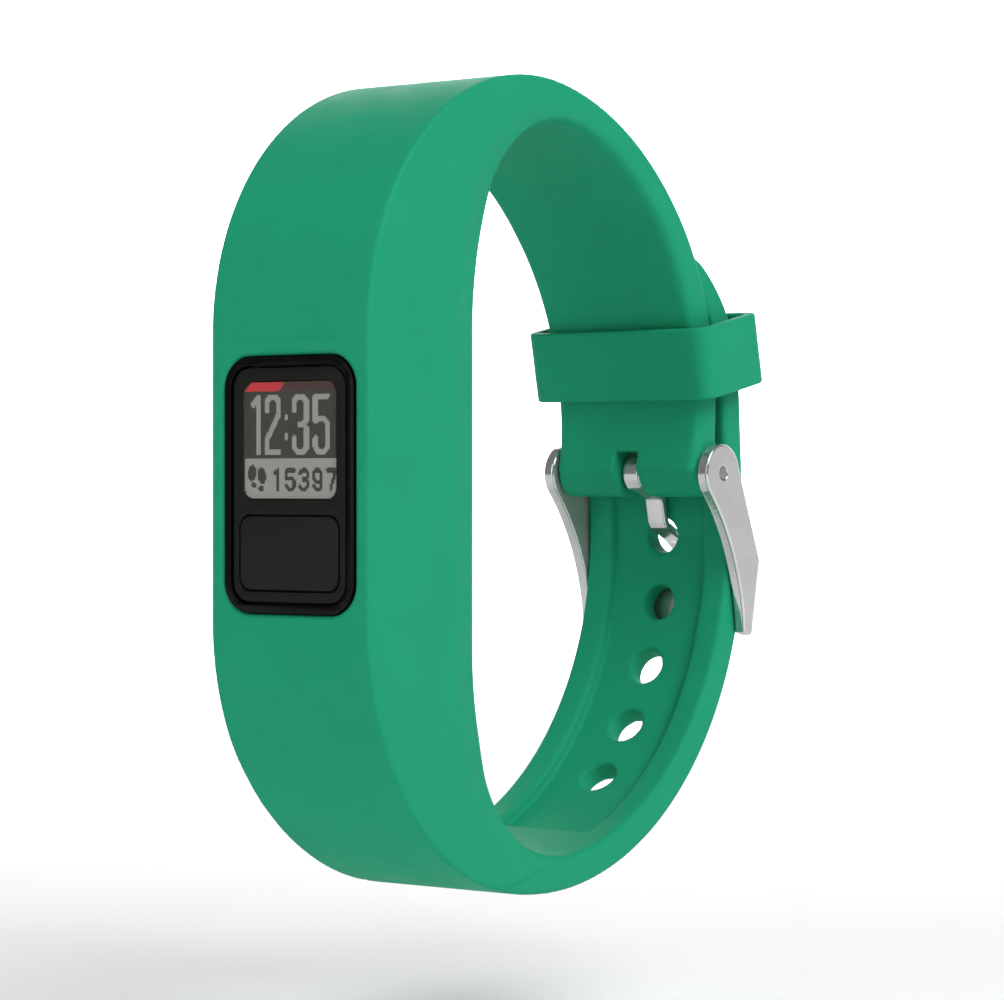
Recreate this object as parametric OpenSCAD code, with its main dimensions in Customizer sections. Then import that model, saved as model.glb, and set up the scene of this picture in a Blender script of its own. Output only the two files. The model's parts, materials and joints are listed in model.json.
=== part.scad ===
// Fitness tracker band: a soft moulded wristband with a removable tracker module in its head,
// closed by a pin buckle and a sliding keeper. Millimetres.
// Origin: centre of the wrist opening, at the middle of the band's width.
// +X runs across the band, -Y points out through the display, +Z is up along the head.

/* [Head of the band] */
// Width of the band across the wrist axis
band_w = 17.8; // [16:0.1:22]
// Distance from the wrist axis to the flat front of the head
head_front = 29.65; // [29:0.05:36]
// Thickness of the head, front to wrist side
head_t = 15.2; // [13.8:0.05:17]
// Height where the flat front turns into the upper curve
top_start = 13.0; // [12.6:0.1:17]
// Radius of the upper curve
top_r = 23.3; // [20:0.1:27]
// Depth where the flat front turns into the lower curve
bottom_start = 11.75; // [11.5:0.05:16]
// Radius of the lower curve
bottom_r = 24.56; // [21:0.02:28]
// Radius of the long inner curve above the head
top_inner_r = 33; // [28:0.5:40]
// Radius of the small inner curve where the head meets the buckle strap
top_throat_r = 10.7; // [8:0.1:13]
// Radius of the small inner curve where the head meets the tail strap
bottom_throat_r = 12.2; // [9:0.1:14]

/* [Straps] */
// Outer radius of the buckle strap
strap_r = 30.4; // [29:0.1:36]
// Outer radius of the tail strap round the bottom
tail_r = 31.37; // [30:0.01:36]
// Thickness of both straps
strap_t = 3; // [2.4:0.1:3.4]
// Width of the straps where they pass through the buckle
strap_w = 16.6; // [14:0.1:17]
// Height where the buckle strap starts to narrow
taper_top = 24; // [18:0.5:26]
// Depth where the tail strap starts to narrow
taper_bottom_start = 22; // [18:0.5:26]
// Depth where the tail strap has reached its narrow width
taper_bottom = 33; // [30:0.5:34]
// Angle of the tail's tip round the buckle strap's centre
tail_tip_a = 34; // [28:0.5:38]
// Length of the oval tip of the tail
tip_l = 14; // [8:0.5:15]
// Gap between the buckle strap and the tail that lies on it
strap_gap = 1.4; // [0.6:0.05:1.6]
// Width of the channel along the wrist side of the tail
channel_w = 10.5; // [6:0.1:12]
// Depth of that channel
channel_d = 0.9; // [0.4:0.05:1.2]

/* [Adjustment holes] */
// Radius of a hole
hole_r = 1.7; // [1.4:0.05:2]
// Distance from hole to hole along the tail
hole_pitch = 6.66; // [5.5:0.02:8]
// Holes between the buckle and the head, with the one in use
holes_below = 5; // [3:1:6]
// Holes between the buckle and the tip
holes_above = 2; // [0:1:2]

/* [Buckle] */
// Angle of the buckle pin below the buckle strap's centre
pin_a = 9.4; // [7:0.1:11]
// Gap between the rolled end of the buckle strap and the tail behind it
roll_gap = 0.19; // [0.1:0.01:0.4]
// Radius of the spring bar
bar_r = 0.9; // [0.75:0.05:1]
// Radius of the rolled end of the buckle strap
roll_r = 2.25; // [2:0.05:2.4]
// Thickness of a buckle arm
arm_t = 1.2; // [1:0.05:1.6]
// Radius of the round end of a buckle arm
arm_end_r = 2.8; // [2.4:0.05:3]
// Height of the cross bar along the tail
cross_h = 6.2; // [4:0.1:7]
// Thickness of the cross bar
cross_t = 0.8; // [0.6:0.05:1.2]
// Width of the tongue
tongue_w = 2.1; // [1.6:0.1:2.4]
// Thickness of the tongue
tongue_t = 0.75; // [0.6:0.05:0.9]

/* [Keeper] */
// Height of the keeper along the strap
keeper_h = 6.8; // [4:0.1:9]
// Wall thickness of the keeper
keeper_t = 1; // [0.8:0.05:1.3]
// Room in the keeper beside the band, on each side
keeper_side = 0.7; // [0.3:0.05:1.2]
// Room in the keeper behind the tail
keeper_slack = 0.4; // [0.12:0.02:0.8]
// Angle of the keeper's middle above the buckle strap's centre
keeper_a = 11.7; // [10:0.1:16]

/* [Tracker module] */
// Width of the module's front rim
rim_w = 14.4; // [13.6:0.1:14.6]
// Height of the module's front rim
rim_h = 21.8; // [21:0.1:23]
// Corner radius of the front rim
rim_r = 2.7; // [2:0.1:3.4]
// How far the rim stands proud of the band
rim_proud = 0.1; // [0:0.05:0.5]
// How much wider the case is than the rim, on each side
case_step = 0.5; // [0.4:0.05:0.7]
// Height added to the case above and below the rim
case_step_z = 1.3; // [1:0.05:1.6]
// Thickness of the silicone lip in front of the case
lip_t = 1.7; // [1.2:0.05:2]
// Wall thickness of the case
case_wall = 1; // [0.8:0.05:1.1]
// Thickness of the rim round the face plate
rim_wall = 0.7; // [0.5:0.05:0.9]
// Thickness of the face plate
face_t = 0.9; // [0.7:0.05:1]
// Width of the dark groove round the face plate
groove = 0.25; // [0.15:0.05:0.3]
// Face plate beside the display, on each side
display_margin = 1.1; // [0.9:0.05:2]
// Face plate above the display
display_top = 1.2; // [0.9:0.05:2]
// Bridge of the face plate between the display and the button
bridge_h = 1.35; // [1:0.05:2]
// Height of the button's opening
button_h = 6.6; // [5:0.05:8]
// Face plate beside the button, on each side
button_margin = 0.6; // [0.5:0.05:1.5]
// Face plate below the button
button_bottom = 0.85; // [0.6:0.05:2]
// How far the button can be pressed
button_travel = 0.35; // [0.2:0.05:0.4]
// Room beside the coin cell, on each side
cell_room = 0.9; // [0.7:0.05:2]
// Thickness of the coin cell
cell_t = 4.2; // [2.5:0.05:5]

/* [Fits] */
// Running clearance round the spring bar and its tips
pin_clear = 0.05; // [0.02:0.01:0.08]
// Clearance between soft parts that slide past each other
slide_clear = 0.12; // [0.05:0.01:0.2]
// Clearance between the module and its pocket in the band
pocket_clear = 0.08; // [0.04:0.01:0.12]
// Clearance between parts inside the module
part_clear = 0.1; // [0.05:0.01:0.15]
// Gap between the buckle's cross bar and the tail
cross_gap = 0.25; // [0.2:0.05:0.5]
// Gap between a buckle arm and the strap beside it
arm_gap = 0.15; // [0.1:0.05:0.4]

/* [Hidden] */

$fn = 64;
eps = 0.01;
step_a = 4;                       // angle between the points of a long curve
far = 60;                         // more than the size of the whole object

silicone = "#2aa078";
steel = "#c9ccce";
black = "#141414";
charcoal = "#262625";
gold = "#c8a24a";
board_green = "#1f5c3a";
chip_black = "#1c1c1e";

// ---- Curves in the side view: x is the row's Y, y is the row's Z ----

function polar(r, a) = r * [cos(a), sin(a)];
function arc(c, r, a0, a1) =
    let (n = max(2, ceil(abs(a1 - a0) / step_a)))
    [for (i = [0:n]) c + polar(r, a0 + (a1 - a0) * i / n)];
// Arc from p to q of radius |r|, with its centre to the left of p-q where r is positive
function arc_between(p, q, r) =
    let (
        d = norm(q - p),
        side = sign(r) * sqrt(r * r - d * d / 4) / d,
        c = (p + q) / 2 + side * [p[1] - q[1], q[0] - p[0]],
        a0 = atan2(p[1] - c[1], p[0] - c[0]),
        turn = 2 * asin(d / 2 / r)
    )
    arc(c, abs(r), a0, a0 + turn);
// Centre of a circle of radius big that touches a circle (c, r) inside, at the angle a
function outside_centre(c, r, big, a) = c - polar(big - r, a);

head_back = head_front - head_t;
top_blend_a = 79.5;
bottom_blend_a = -102.7;
top_c = [-head_front + top_r, top_start];
bottom_c = [-head_front + bottom_r, -bottom_start];
strap_c = outside_centre(top_c, top_r, strap_r, top_blend_a);
tail_c = outside_centre(bottom_c, bottom_r, tail_r, bottom_blend_a);
strap_in_r = strap_r - strap_t;
tail_in_r = tail_r - strap_t;

// Inner side of the head: a flat, a long arc at each end of it, then a small throat arc that runs
// into the strap's inner side
long_top_a = 157.63;
top_inner_x = -head_back + top_inner_r;
top_throat_x = top_inner_x + (top_inner_r - top_throat_r) * cos(long_top_a);
throat_a = acos((top_throat_x - strap_c[0]) / (strap_in_r - top_throat_r));
top_throat_c = strap_c + polar(strap_in_r - top_throat_r, throat_a);
top_inner_c = [top_inner_x, top_throat_c[1] - (top_inner_r - top_throat_r) * sin(long_top_a)];
bottom_inner_r = 31.4;
long_bottom_a = 200.36;
bottom_inner_x = -head_back + bottom_inner_r;
bottom_throat_x = bottom_inner_x + (bottom_inner_r - bottom_throat_r) * cos(long_bottom_a);
low_throat_a = -acos((bottom_throat_x - tail_c[0]) / (tail_in_r - bottom_throat_r));
bottom_throat_c = tail_c + polar(tail_in_r - bottom_throat_r, low_throat_a);
bottom_inner_c = [bottom_inner_x,
    bottom_throat_c[1] - (bottom_inner_r - bottom_throat_r) * sin(long_bottom_a)];

// The tail rises in a straight stretch from its lower arc, then follows the buckle strap
lap_in_r = strap_r + strap_gap;
lap_r = lap_in_r + strap_t;
centre_step = tail_c - strap_c;
rise_a = acos((lap_r - tail_r) / norm(centre_step)) + atan2(centre_step[1], centre_step[0]);
rise_n = polar(1, rise_a);
rise_t = polar(1, rise_a + 90);
rise_start = tail_c + tail_r * rise_n;

// Buckle pin
pin_from_strap_c = (lap_in_r - roll_gap - roll_r) / cos(rise_a + pin_a);
pin_c = strap_c + polar(pin_from_strap_c, -pin_a);
arm_in_x = strap_w / 2 + arm_gap;
arm_out_x = arm_in_x + arm_t;
tip_step = 0.3;                   // a tip is this much thinner than the tube
tip_r = bar_r - tip_step;

// A side view swept along X, from x0 to x1
module side_view(x0, x1)
    translate([x0, 0, 0]) rotate([90, 0, 90]) linear_extrude(x1 - x0) children();
module across(w) side_view(-w / 2, w / 2) children();

// A front view (row X and Z) swept from y0 to y1
module front_view(y0, y1)
    translate([0, y1, 0]) rotate([90, 0, 0]) linear_extrude(y1 - y0) children();

module rounded_rect(w, h, r, at = [0, 0])
    translate(at)
        if (r > 0) {
            for (x = [-1, 1], y = [-1, 1])
                translate([x * (w / 2 - r), y * (h / 2 - r)]) circle(r);
            square([w - 2 * r, h], center = true);
            square([w, h - 2 * r], center = true);
        } else
            square([w, h], center = true);

module rod_x(c, r, x0, x1)
    translate([x0, c[0], c[1]]) rotate([0, 90, 0]) cylinder(r = r, h = x1 - x0);

// ---- Band ----

module head_and_strap_outline() {
    polygon(concat(
        arc(strap_c, strap_r, -pin_a, top_blend_a),
        arc(top_c, top_r, top_blend_a, 180),
        arc(bottom_c, bottom_r, 180, 360 + bottom_blend_a),
        arc(bottom_throat_c, bottom_throat_r, 360 + low_throat_a, long_bottom_a),
        arc(bottom_inner_c, bottom_inner_r, long_bottom_a, 180),
        arc(top_inner_c, top_inner_r, 180, long_top_a),
        arc(top_throat_c, top_throat_r, long_top_a, throat_a),
        arc(strap_c, strap_in_r, throat_a, -pin_a)));
    translate(pin_c) circle(roll_r);
}

tip_curve_a = 8;                  // angle over which the tail's outer side curves in to its tip
tip_curve_r = 0.6 * strap_r;
tail_overlap_a = 4;               // the tail's root reaches this far into the head

module tail_outline()
    polygon(concat(
        arc(tail_c, tail_r, bottom_blend_a, rise_a),
        arc(strap_c, lap_r, rise_a, tail_tip_a - tip_curve_a),
        arc_between(strap_c + polar(lap_r, tail_tip_a - tip_curve_a),
            strap_c + polar(lap_in_r + strap_t / 2, tail_tip_a), tip_curve_r),
        arc(strap_c, lap_in_r, tail_tip_a, rise_a),
        arc(tail_c, tail_in_r, rise_a, low_throat_a - tail_overlap_a)));

// Wedges that narrow the buckle strap towards the pin and the lower curve towards the tail
module taper_cuts() {
    narrow_z = pin_c[1] + arm_end_r;
    end_z = pin_c[1] - 2 * roll_r;
    for (side = [0, 1]) mirror([side, 0, 0]) {
        front_view(0, far)
            polygon([[band_w / 2, taper_top], [far, taper_top], [far, end_z],
                [strap_w / 2, end_z], [strap_w / 2, narrow_z]]);
        front_view(-far, far)
            polygon([[band_w / 2, -taper_bottom_start], [far, -taper_bottom_start], [far, -far],
                [strap_w / 2, -far], [strap_w / 2, -taper_bottom]]);
    }
}

// Places a hole's axis: along +X of this frame, from the wrist side outwards
module at_tail_angle(c, a) translate([0, c[0], c[1]]) rotate([a, 0, 0]) children();
module hole_through(c, a, r)
    at_tail_angle(c, a) translate([0, r - strap_t, 0]) rotate([-90, 0, 0])
        cylinder(r = hole_r, h = 2 * strap_t);

first_hole_a = 0.4;
hole_step_a = hole_pitch / (tail_r - strap_t / 2) * 180 / PI;
above_start = (rise_a - first_hole_a) * PI / 180 * (tail_r - strap_t / 2);

module adjustment_holes() {
    for (i = [0:holes_below - 1])
        hole_through(tail_c, first_hole_a - i * hole_step_a, tail_r - strap_t / 2);
    if (holes_above > 0)
        for (i = [1:holes_above])
            hole_through(rise_start + (i * hole_pitch - above_start) * rise_t - tail_r * rise_n,
                rise_a, tail_r - strap_t / 2);
}

channel_start_a = -70;
module tail_channel()
    across(channel_w) polygon(concat(
        arc(tail_c, tail_in_r + channel_d, channel_start_a, rise_a),
        arc(strap_c, lap_in_r + channel_d, rise_a, tail_tip_a - tip_curve_a),
        arc(strap_c, lap_in_r - eps, tail_tip_a - tip_curve_a, rise_a),
        arc(tail_c, tail_in_r - eps, rise_a, channel_start_a)));

// What is cut away to leave the tail's tip half an oval, seen square to it
module tail_tip_cut() {
    cut_d = 4 * strap_t;
    at_tail_angle(strap_c, tail_tip_a) rotate([-90, 0, 0]) translate([0, 0, strap_r]) difference() {
        translate([-strap_w, -tip_l, 0]) cube([2 * strap_w, 2 * tip_l, cut_d]);
        translate([0, 0, -1]) linear_extrude(cut_d + 2) polygon(concat(
            [for (a = [180:2 * step_a:360]) [strap_w / 2 * cos(a), tip_l * (1 + sin(a))]],
            [[strap_w, 3 * tip_l], [-strap_w, 3 * tip_l]]));
    }
}

// The module's layers, from the front to the back
face_inset = 0.1;                 // the face plate lies this far behind the rim
panel_t = 1.2;
backing_t = 0.3;
ledge_t = panel_t + backing_t;    // the case's front wall, behind the face plate
board_room = 0.7;
board_t = 0.8;
chip_room = 1.1;
gasket_t = 0.2;
cover_t = 1;
front_y = -head_front - rim_proud;
face_front_y = front_y + face_inset;
face_back_y = face_front_y + face_t;
cavity_front_y = face_back_y + ledge_t;
board_front_y = cavity_front_y + board_room;
board_back_y = board_front_y + board_t;
case_end_y = board_back_y + chip_room + cell_t + part_clear;
case_back_y = case_end_y + gasket_t + cover_t;

case_front_y = -head_front + lip_t + pocket_clear;
case_w = rim_w + 2 * case_step;
case_h = rim_h + 2 * case_step_z;
case_r = rim_r + case_step;
skin_ledge_w = 2;                 // silicone behind the case's edge, at the sides
skin_ledge_h = 3;                 // and at the ends

module module_pocket() {
    c = pocket_clear;
    front_view(-head_front - 1, case_front_y)
        rounded_rect(rim_w + 2 * c, rim_h + 2 * c, rim_r + c);
    front_view(case_front_y - c, case_back_y + c)
        rounded_rect(case_w + 2 * c, case_h + 2 * c, case_r + c);
    front_view(case_back_y, -head_back + 1)
        rounded_rect(case_w - 2 * skin_ledge_w, case_h - 2 * skin_ledge_h, case_r);
}

// The notch in the rolled end that the tongue turns in
notch_w = tongue_w + 0.5;
notch_room = 0.35;                // above the tongue's ring
coil_r = bar_r + 2 * pin_clear + tongue_t;
notch_y0 = pin_c[0] - roll_r - 2;
notch_y1 = pin_c[0] + roll_r + 0.3;
notch_z0 = pin_c[1] - roll_r - 1;
notch_z1 = pin_c[1] + coil_r + notch_room;

module band() color(silicone) difference() {
    union() {
        difference() {
            across(band_w) head_and_strap_outline();
            taper_cuts();
        }
        across(strap_w) tail_outline();
    }
    module_pocket();
    adjustment_holes();
    tail_channel();
    tail_tip_cut();
    rod_x(pin_c, bar_r + pin_clear, -strap_w, strap_w);
    translate([-notch_w / 2, notch_y0, notch_z0])
        cube([notch_w, notch_y1 - notch_y0, notch_z1 - notch_z0]);
}

keeper_r = 1.6;
keeper_inner_r = 0.5;

module keeper_loop() color(silicone)
    at_tail_angle(strap_c, keeper_a) {
        inner_w = band_w + 2 * keeper_side;
        y0 = sqrt(pow(strap_in_r - slide_clear, 2) - pow(keeper_h / 2, 2));
        y1 = lap_r + keeper_slack;
        d = y1 - y0;
        translate([0, (y0 + y1) / 2, -keeper_h / 2]) linear_extrude(keeper_h) difference() {
            rounded_rect(inner_w + 2 * keeper_t, d + 2 * keeper_t, keeper_r);
            rounded_rect(inner_w, d, keeper_inner_r);
        }
    }

// ---- Buckle ----

cross_mid_a = -11;
cross_n = polar(1, cross_mid_a);
cross_t_dir = polar(1, cross_mid_a + 90);
cross_in = tail_c + (tail_r + cross_gap) * cross_n;
cross_top_in = cross_in + cross_h / 2 * cross_t_dir;
cross_low_in = cross_in - cross_h / 2 * cross_t_dir;
cross_top_out = cross_top_in + cross_t * cross_n;
cross_low_out = cross_low_in + cross_t * cross_n;

module cross_bar_outline()
    polygon([cross_top_in, cross_top_out, cross_low_out, cross_low_in]);

arm_foot = 1.2;                   // how far an arm reaches in front of the cross bar
arm_waist_r = 22;                 // hollow of an arm's front edge
arm_front_a = 217;                // where the front and back edges leave the round end
arm_back_a = 12;
module arm_outline() {
    front_top = pin_c + polar(arm_end_r, arm_front_a);
    back_top = pin_c + polar(arm_end_r, arm_back_a);
    foot = cross_low_in - arm_foot * cross_n;
    translate(pin_c) circle(arm_end_r);
    polygon(concat(
        [back_top, pin_c],
        arc_between(front_top, foot, -arm_waist_r),
        arc_between(foot, cross_low_out + arm_foot / 2 * cross_t_dir, arm_foot),
        [cross_top_out]));
}

module buckle_frame() color(steel) difference() {
    union() {
        for (side = [0, 1]) mirror([side, 0, 0]) side_view(arm_in_x, arm_out_x) arm_outline();
        side_view(-arm_out_x, arm_out_x) cross_bar_outline();
    }
    rod_x(pin_c, tip_r + pin_clear, -far, far);
}

// The tongue: a ring round the spring bar, a shank in the tail's channel, and an end bent
// through the hole
shank_gap = 0.25;                 // between the shank and the channel's floor
shank_r = tail_in_r + channel_d - tongue_t / 2 - shank_gap;
shank_top = tail_c + polar(shank_r - 0.3, first_hole_a + 7.6);
tongue_bend = tail_c + polar(shank_r, first_hole_a + 2.8);
tongue_turn = [0.3, -0.45];       // from the shank's end to the start of the bent end
tongue_exit = tail_c + polar(tail_r, first_hole_a - 0.55);
tip_a = 45.2;                     // the tongue's tip, below the pin
tongue_tip = pin_c + polar(norm(cross_top_in - pin_c) - 2 * cross_gap, -tip_a);
ring_exit_a = 62;                 // where the shank leaves the ring, below the pin
shank_bow_r = 25;
bend_bow_r = 20;

// The outline of a flat strip of thickness t along a route of points
function normals(p) = [for (i = [0:len(p) - 1])
    let (
        a = p[max(i - 1, 0)], b = p[min(i + 1, len(p) - 1)],
        d = (b - a) / norm(b - a)
    ) [-d[1], d[0]]];
module strip(route, t) {
    n = normals(route);
    last = len(route) - 1;
    polygon(concat(
        [for (i = [0:last]) route[i] + t / 2 * n[i]],
        [for (i = [last:-1:0]) route[i] - t / 2 * n[i]]));
}

module buckle_tongue() color(steel) difference() {
    union() {
        rod_x(pin_c, coil_r, -tongue_w / 2, tongue_w / 2);
        across(tongue_w) strip(concat(
            [pin_c + polar(coil_r - tongue_t / 2, -ring_exit_a)],
            arc_between(shank_top, tongue_bend, -shank_bow_r),
            arc_between(tongue_bend + tongue_turn, tongue_exit, -bend_bow_r),
            [tongue_tip]), tongue_t);
    }
    rod_x(pin_c, bar_r + 2 * pin_clear, -tongue_w, tongue_w);
}

// ---- Spring bar ----

tube_end_x = arm_in_x - 0.15;
tube_wall = 0.16;
tube_bore_r = bar_r - tube_wall;
lip_l = 0.35;                     // the tube's rolled-in ends, which hold the tips
tip_sink = 0.05;                  // a tip ends this far inside the arm's outer face
collar_r = tube_bore_r - pin_clear;
collar_l = 0.8;

module spring_bar_tube() color(steel) difference() {
    rod_x(pin_c, bar_r, -tube_end_x, tube_end_x);
    rod_x(pin_c, tube_bore_r, -tube_end_x + lip_l, tube_end_x - lip_l);
    rod_x(pin_c, tip_r + pin_clear, -far, far);
}

module spring_bar_tip() {
    collar_x = tube_end_x - lip_l - part_clear;
    rod_x(pin_c, tip_r, collar_x - collar_l, arm_out_x - tip_sink);
    rod_x(pin_c, collar_r, collar_x - collar_l, collar_x);
}
module spring_bar_tip_left() color(steel) mirror([1, 0, 0]) spring_bar_tip();
module spring_bar_tip_right() color(steel) spring_bar_tip();

// A round wire wound about the pin's axis
spring_wire_r = 0.11;
spring_coil_r = tube_bore_r - spring_wire_r - pin_clear;
spring_turns = 12;
spring_end_x = tube_end_x - lip_l - collar_l - 2 * part_clear - spring_wire_r;
spring_sides = 6;
spring_rings = 12 * spring_turns;
function spring_point(i, j) =
    let (
        a = 360 * spring_turns * i / spring_rings,
        b = 360 * j / spring_sides,
        r = spring_coil_r + spring_wire_r * cos(b)
    )
    [-spring_end_x + 2 * spring_end_x * i / spring_rings + spring_wire_r * sin(b),
     pin_c[0] + r * cos(a), pin_c[1] + r * sin(a)];

module spring_bar_spring() color(steel)
    polyhedron(
        points = [for (i = [0:spring_rings], j = [0:spring_sides - 1]) spring_point(i, j)],
        faces = concat(
            [[for (j = [0:spring_sides - 1]) j]],
            [for (i = [0:spring_rings - 1], j = [0:spring_sides - 1], half = [0, 1])
                let (k = (j + 1) % spring_sides, a = i * spring_sides, b = a + spring_sides)
                half == 0 ? [a + j, b + j, b + k] : [a + j, b + k, a + k]],
            [[for (j = [spring_sides - 1:-1:0]) spring_rings * spring_sides + j]]));

// ---- Tracker module, from the front to the back ----

face_w = rim_w - 2 * (rim_wall + groove);
face_h = rim_h - 2 * (rim_wall + groove);
face_r = rim_r - rim_wall - groove;
display_w = face_w - 2 * display_margin;
display_h = face_h - display_top - bridge_h - button_h - button_bottom;
display_z = face_h / 2 - display_top - display_h / 2;
button_w = face_w - 2 * button_margin;
button_z = -face_h / 2 + button_bottom + button_h / 2;
ledge_step = 0.6;                 // width of the shelf that the face plate is bonded to
ledge_w = face_w - 2 * ledge_step;
ledge_h = face_h - ledge_step;
cavity_w = case_w - 2 * case_wall;
cavity_h = case_h - 2 * case_wall;
boss_x = cavity_w / 2 - 1.4;
boss_z = cavity_h / 2 - 1.35;
boss_r = 1.15;
screw_r = 0.5;
screw_l = 3.6;
screw_room = 0.4;                 // below a screw's end

ledge_r = 1.4;
display_r = 1;
button_r = 1.2;

module at_bosses() for (x = [-1, 1], z = [-1, 1]) translate([x * boss_x, z * boss_z]) children();

module front_housing() color(black) difference() {
    union() {
        front_view(front_y, case_front_y + eps) rounded_rect(rim_w, rim_h, rim_r);
        front_view(case_front_y, case_end_y) rounded_rect(case_w, case_h, case_r);
    }
    front_view(front_y - 1, face_back_y)
        rounded_rect(face_w + 2 * groove, face_h + 2 * groove, face_r + groove);
    front_view(face_back_y - eps, cavity_front_y + eps) rounded_rect(ledge_w, ledge_h, ledge_r);
    difference() {
        front_view(cavity_front_y, case_end_y + 1) rounded_rect(cavity_w, cavity_h, case_r - case_wall);
        front_view(cavity_front_y - 1, case_end_y) at_bosses() circle(boss_r);
    }
    front_view(case_end_y - screw_l - screw_room, case_end_y + 1)
        at_bosses() circle(screw_r + part_clear / 2);
}

module face_plate() color(charcoal) front_view(face_front_y, face_back_y) difference() {
    rounded_rect(face_w, face_h, face_r);
    rounded_rect(display_w + 2 * part_clear, display_h + 2 * part_clear, display_r + part_clear,
        [0, display_z]);
    rounded_rect(button_w, button_h, button_r, [0, button_z]);
}

lens_t = 0.2;
lens_front_y = face_front_y + 0.05;
panel_w = ledge_w - 2 * part_clear;
panel_h = display_h + display_top - part_clear;
panel_r = ledge_r - part_clear;
module display_lens() color("#3a3a38", 0.5)
    front_view(lens_front_y, lens_front_y + lens_t)
        rounded_rect(display_w, display_h, display_r, [0, display_z]);
module display_panel() color("#33322c") {
    front_view(lens_front_y + lens_t, face_back_y + eps)
        rounded_rect(display_w, display_h, display_r, [0, display_z]);
    front_view(face_back_y, face_back_y + panel_t)
        rounded_rect(panel_w, panel_h, panel_r, [0, display_z]);
}
backing_h = display_h - 4 * part_clear;
module display_backing() color("#b8bcc0")
    front_view(face_back_y + panel_t, cavity_front_y)
        rounded_rect(panel_w, backing_h, panel_r, [0, display_z]);

flex_w = 6;
flex_t = 0.15;
module flex_cable() color("#c07a2a")
    translate([-flex_w / 2, cavity_front_y, display_z + backing_h / 2 - 1])
        cube([flex_w, board_room, flex_t]);

cap_gap = 0.2;
cap_flange_t = 0.4;
cap_flange_w = 0.3;
cap_r = 1.1;
dome_h = 0.5;
dome_r = 1.9;
plunger_r = 1.4;
cap_back_y = face_back_y + part_clear + cap_flange_t;
module button_cap() color(charcoal) {
    front_view(face_front_y, face_back_y + part_clear + eps)
        rounded_rect(button_w - 2 * cap_gap, button_h - 2 * cap_gap, cap_r, [0, button_z]);
    front_view(face_back_y + part_clear, cap_back_y)
        rounded_rect(ledge_w - 2 * cap_gap, button_h + 2 * cap_flange_w, cap_r, [0, button_z]);
    front_view(cap_back_y - eps, board_front_y - dome_h - button_travel - part_clear)
        translate([0, button_z]) circle(plunger_r);
}
seal_t = 0.4;
seal_y = cap_back_y + button_travel + part_clear;
module button_seal() color("#303030")
    front_view(seal_y, seal_y + seal_t)
        difference() {
            rounded_rect(panel_w, button_h + seal_t, panel_r, [0, button_z]);
            translate([0, button_z]) circle(plunger_r + 2 * part_clear);
        }
module dome_switch() color(steel)
    front_view(board_front_y - dome_h, board_front_y) translate([0, button_z]) circle(dome_r);

module circuit_board() color(board_green)
    front_view(board_front_y, board_back_y) difference() {
        rounded_rect(cavity_w - 2 * part_clear, cavity_h - 2 * part_clear, case_r - case_wall - part_clear);
        at_bosses() circle(boss_r + part_clear);
        for (x = [-1, 1], z = [-1, 1])
            translate([x * (boss_x + boss_r), z * (boss_z + boss_r)]) square(2 * boss_r, center = true);
    }

module chip(w, h, t, at) color(chip_black)
    front_view(board_back_y, board_back_y + t) translate(at) square([w, h], center = true);
cavity_top_z = cavity_h / 2;
module processor_chip() chip(4, 3.6, 0.9, [0, 2.8 - cavity_top_z]);
module radio_chip() chip(2.6, 2.6, 0.8, [-2, cavity_top_z - 3.6]);
module motion_sensor() chip(2, 2, 0.9, [1.6, cavity_top_z - 3.8]);
module timing_crystal() color(steel)
    front_view(board_back_y, board_back_y + 0.6) translate([3.2, 4.3 - cavity_top_z])
        square([1.2, 2], center = true);
module chip_antenna() color("#e8e4da")
    front_view(board_back_y, board_back_y + 1) translate([0, cavity_top_z - 1.2])
        square([5, 1.2], center = true);

cell_r = cavity_w / 2 - cell_room;
cell_back_y = case_end_y - part_clear;
cell_front_y = cell_back_y - cell_t;
cell_step_t = 0.4;
cell_step_w = 0.9;
module coin_cell() color("#d0d2d4") {
    front_view(cell_front_y, cell_front_y + 2 * cell_step_t) circle(cell_r - cell_step_w);
    front_view(cell_front_y + cell_step_t, cell_back_y) circle(cell_r);
}
contact_t = 0.2;
contact_w = 1.6;
contact_l = 7.4;
contact_foot = 1;
module battery_contact_positive() color(gold)
    front_view(board_back_y, (cell_front_y + cell_back_y) / 2)
        translate([cell_r + part_clear + contact_t / 2, 0])
            square([contact_t, 2 * contact_w], center = true);
module battery_contact_negative() color(gold) {
    front_view(cell_front_y - contact_t, cell_front_y) square([contact_w, contact_l], center = true);
    front_view(board_back_y, cell_front_y - contact_t + eps)
        translate([0, contact_l / 2 - contact_foot / 2]) square([contact_w, contact_foot], center = true);
}

module cover_gasket() color("#303030") front_view(case_end_y, case_end_y + gasket_t)
    difference() {
        rounded_rect(case_w - 2 * part_clear, case_h - 2 * part_clear, case_r - part_clear);
        rounded_rect(cavity_w + 2 * part_clear, cavity_h + 2 * part_clear,
            case_r - case_wall + part_clear);
    }

head_r = 1;
head_d = 0.5;
recess_l = 1.2;
recess_w = 0.24;
recess_d = 0.3;
module rear_cover() color(black) difference() {
    front_view(case_back_y - cover_t, case_back_y) rounded_rect(case_w, case_h, case_r);
    front_view(case_back_y - cover_t - 1, case_back_y + 1) at_bosses() circle(screw_r + part_clear);
    front_view(case_back_y - head_d, case_back_y + 1) at_bosses() circle(head_r + part_clear);
}

module cover_screws() color(steel)
    for (x = [-1, 1], z = [-1, 1]) translate([x * boss_x, 0, z * boss_z]) difference() {
        union() {
            front_view(case_back_y - head_d, case_back_y - part_clear / 2) circle(head_r);
            front_view(case_end_y - screw_l, case_back_y - head_d + eps) circle(screw_r);
        }
        for (a = [0, 90]) rotate([0, a, 0])
            translate([-recess_l / 2, case_back_y - recess_d, -recess_w / 2])
                cube([recess_l, 2 * recess_d, recess_w]);
    }

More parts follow.
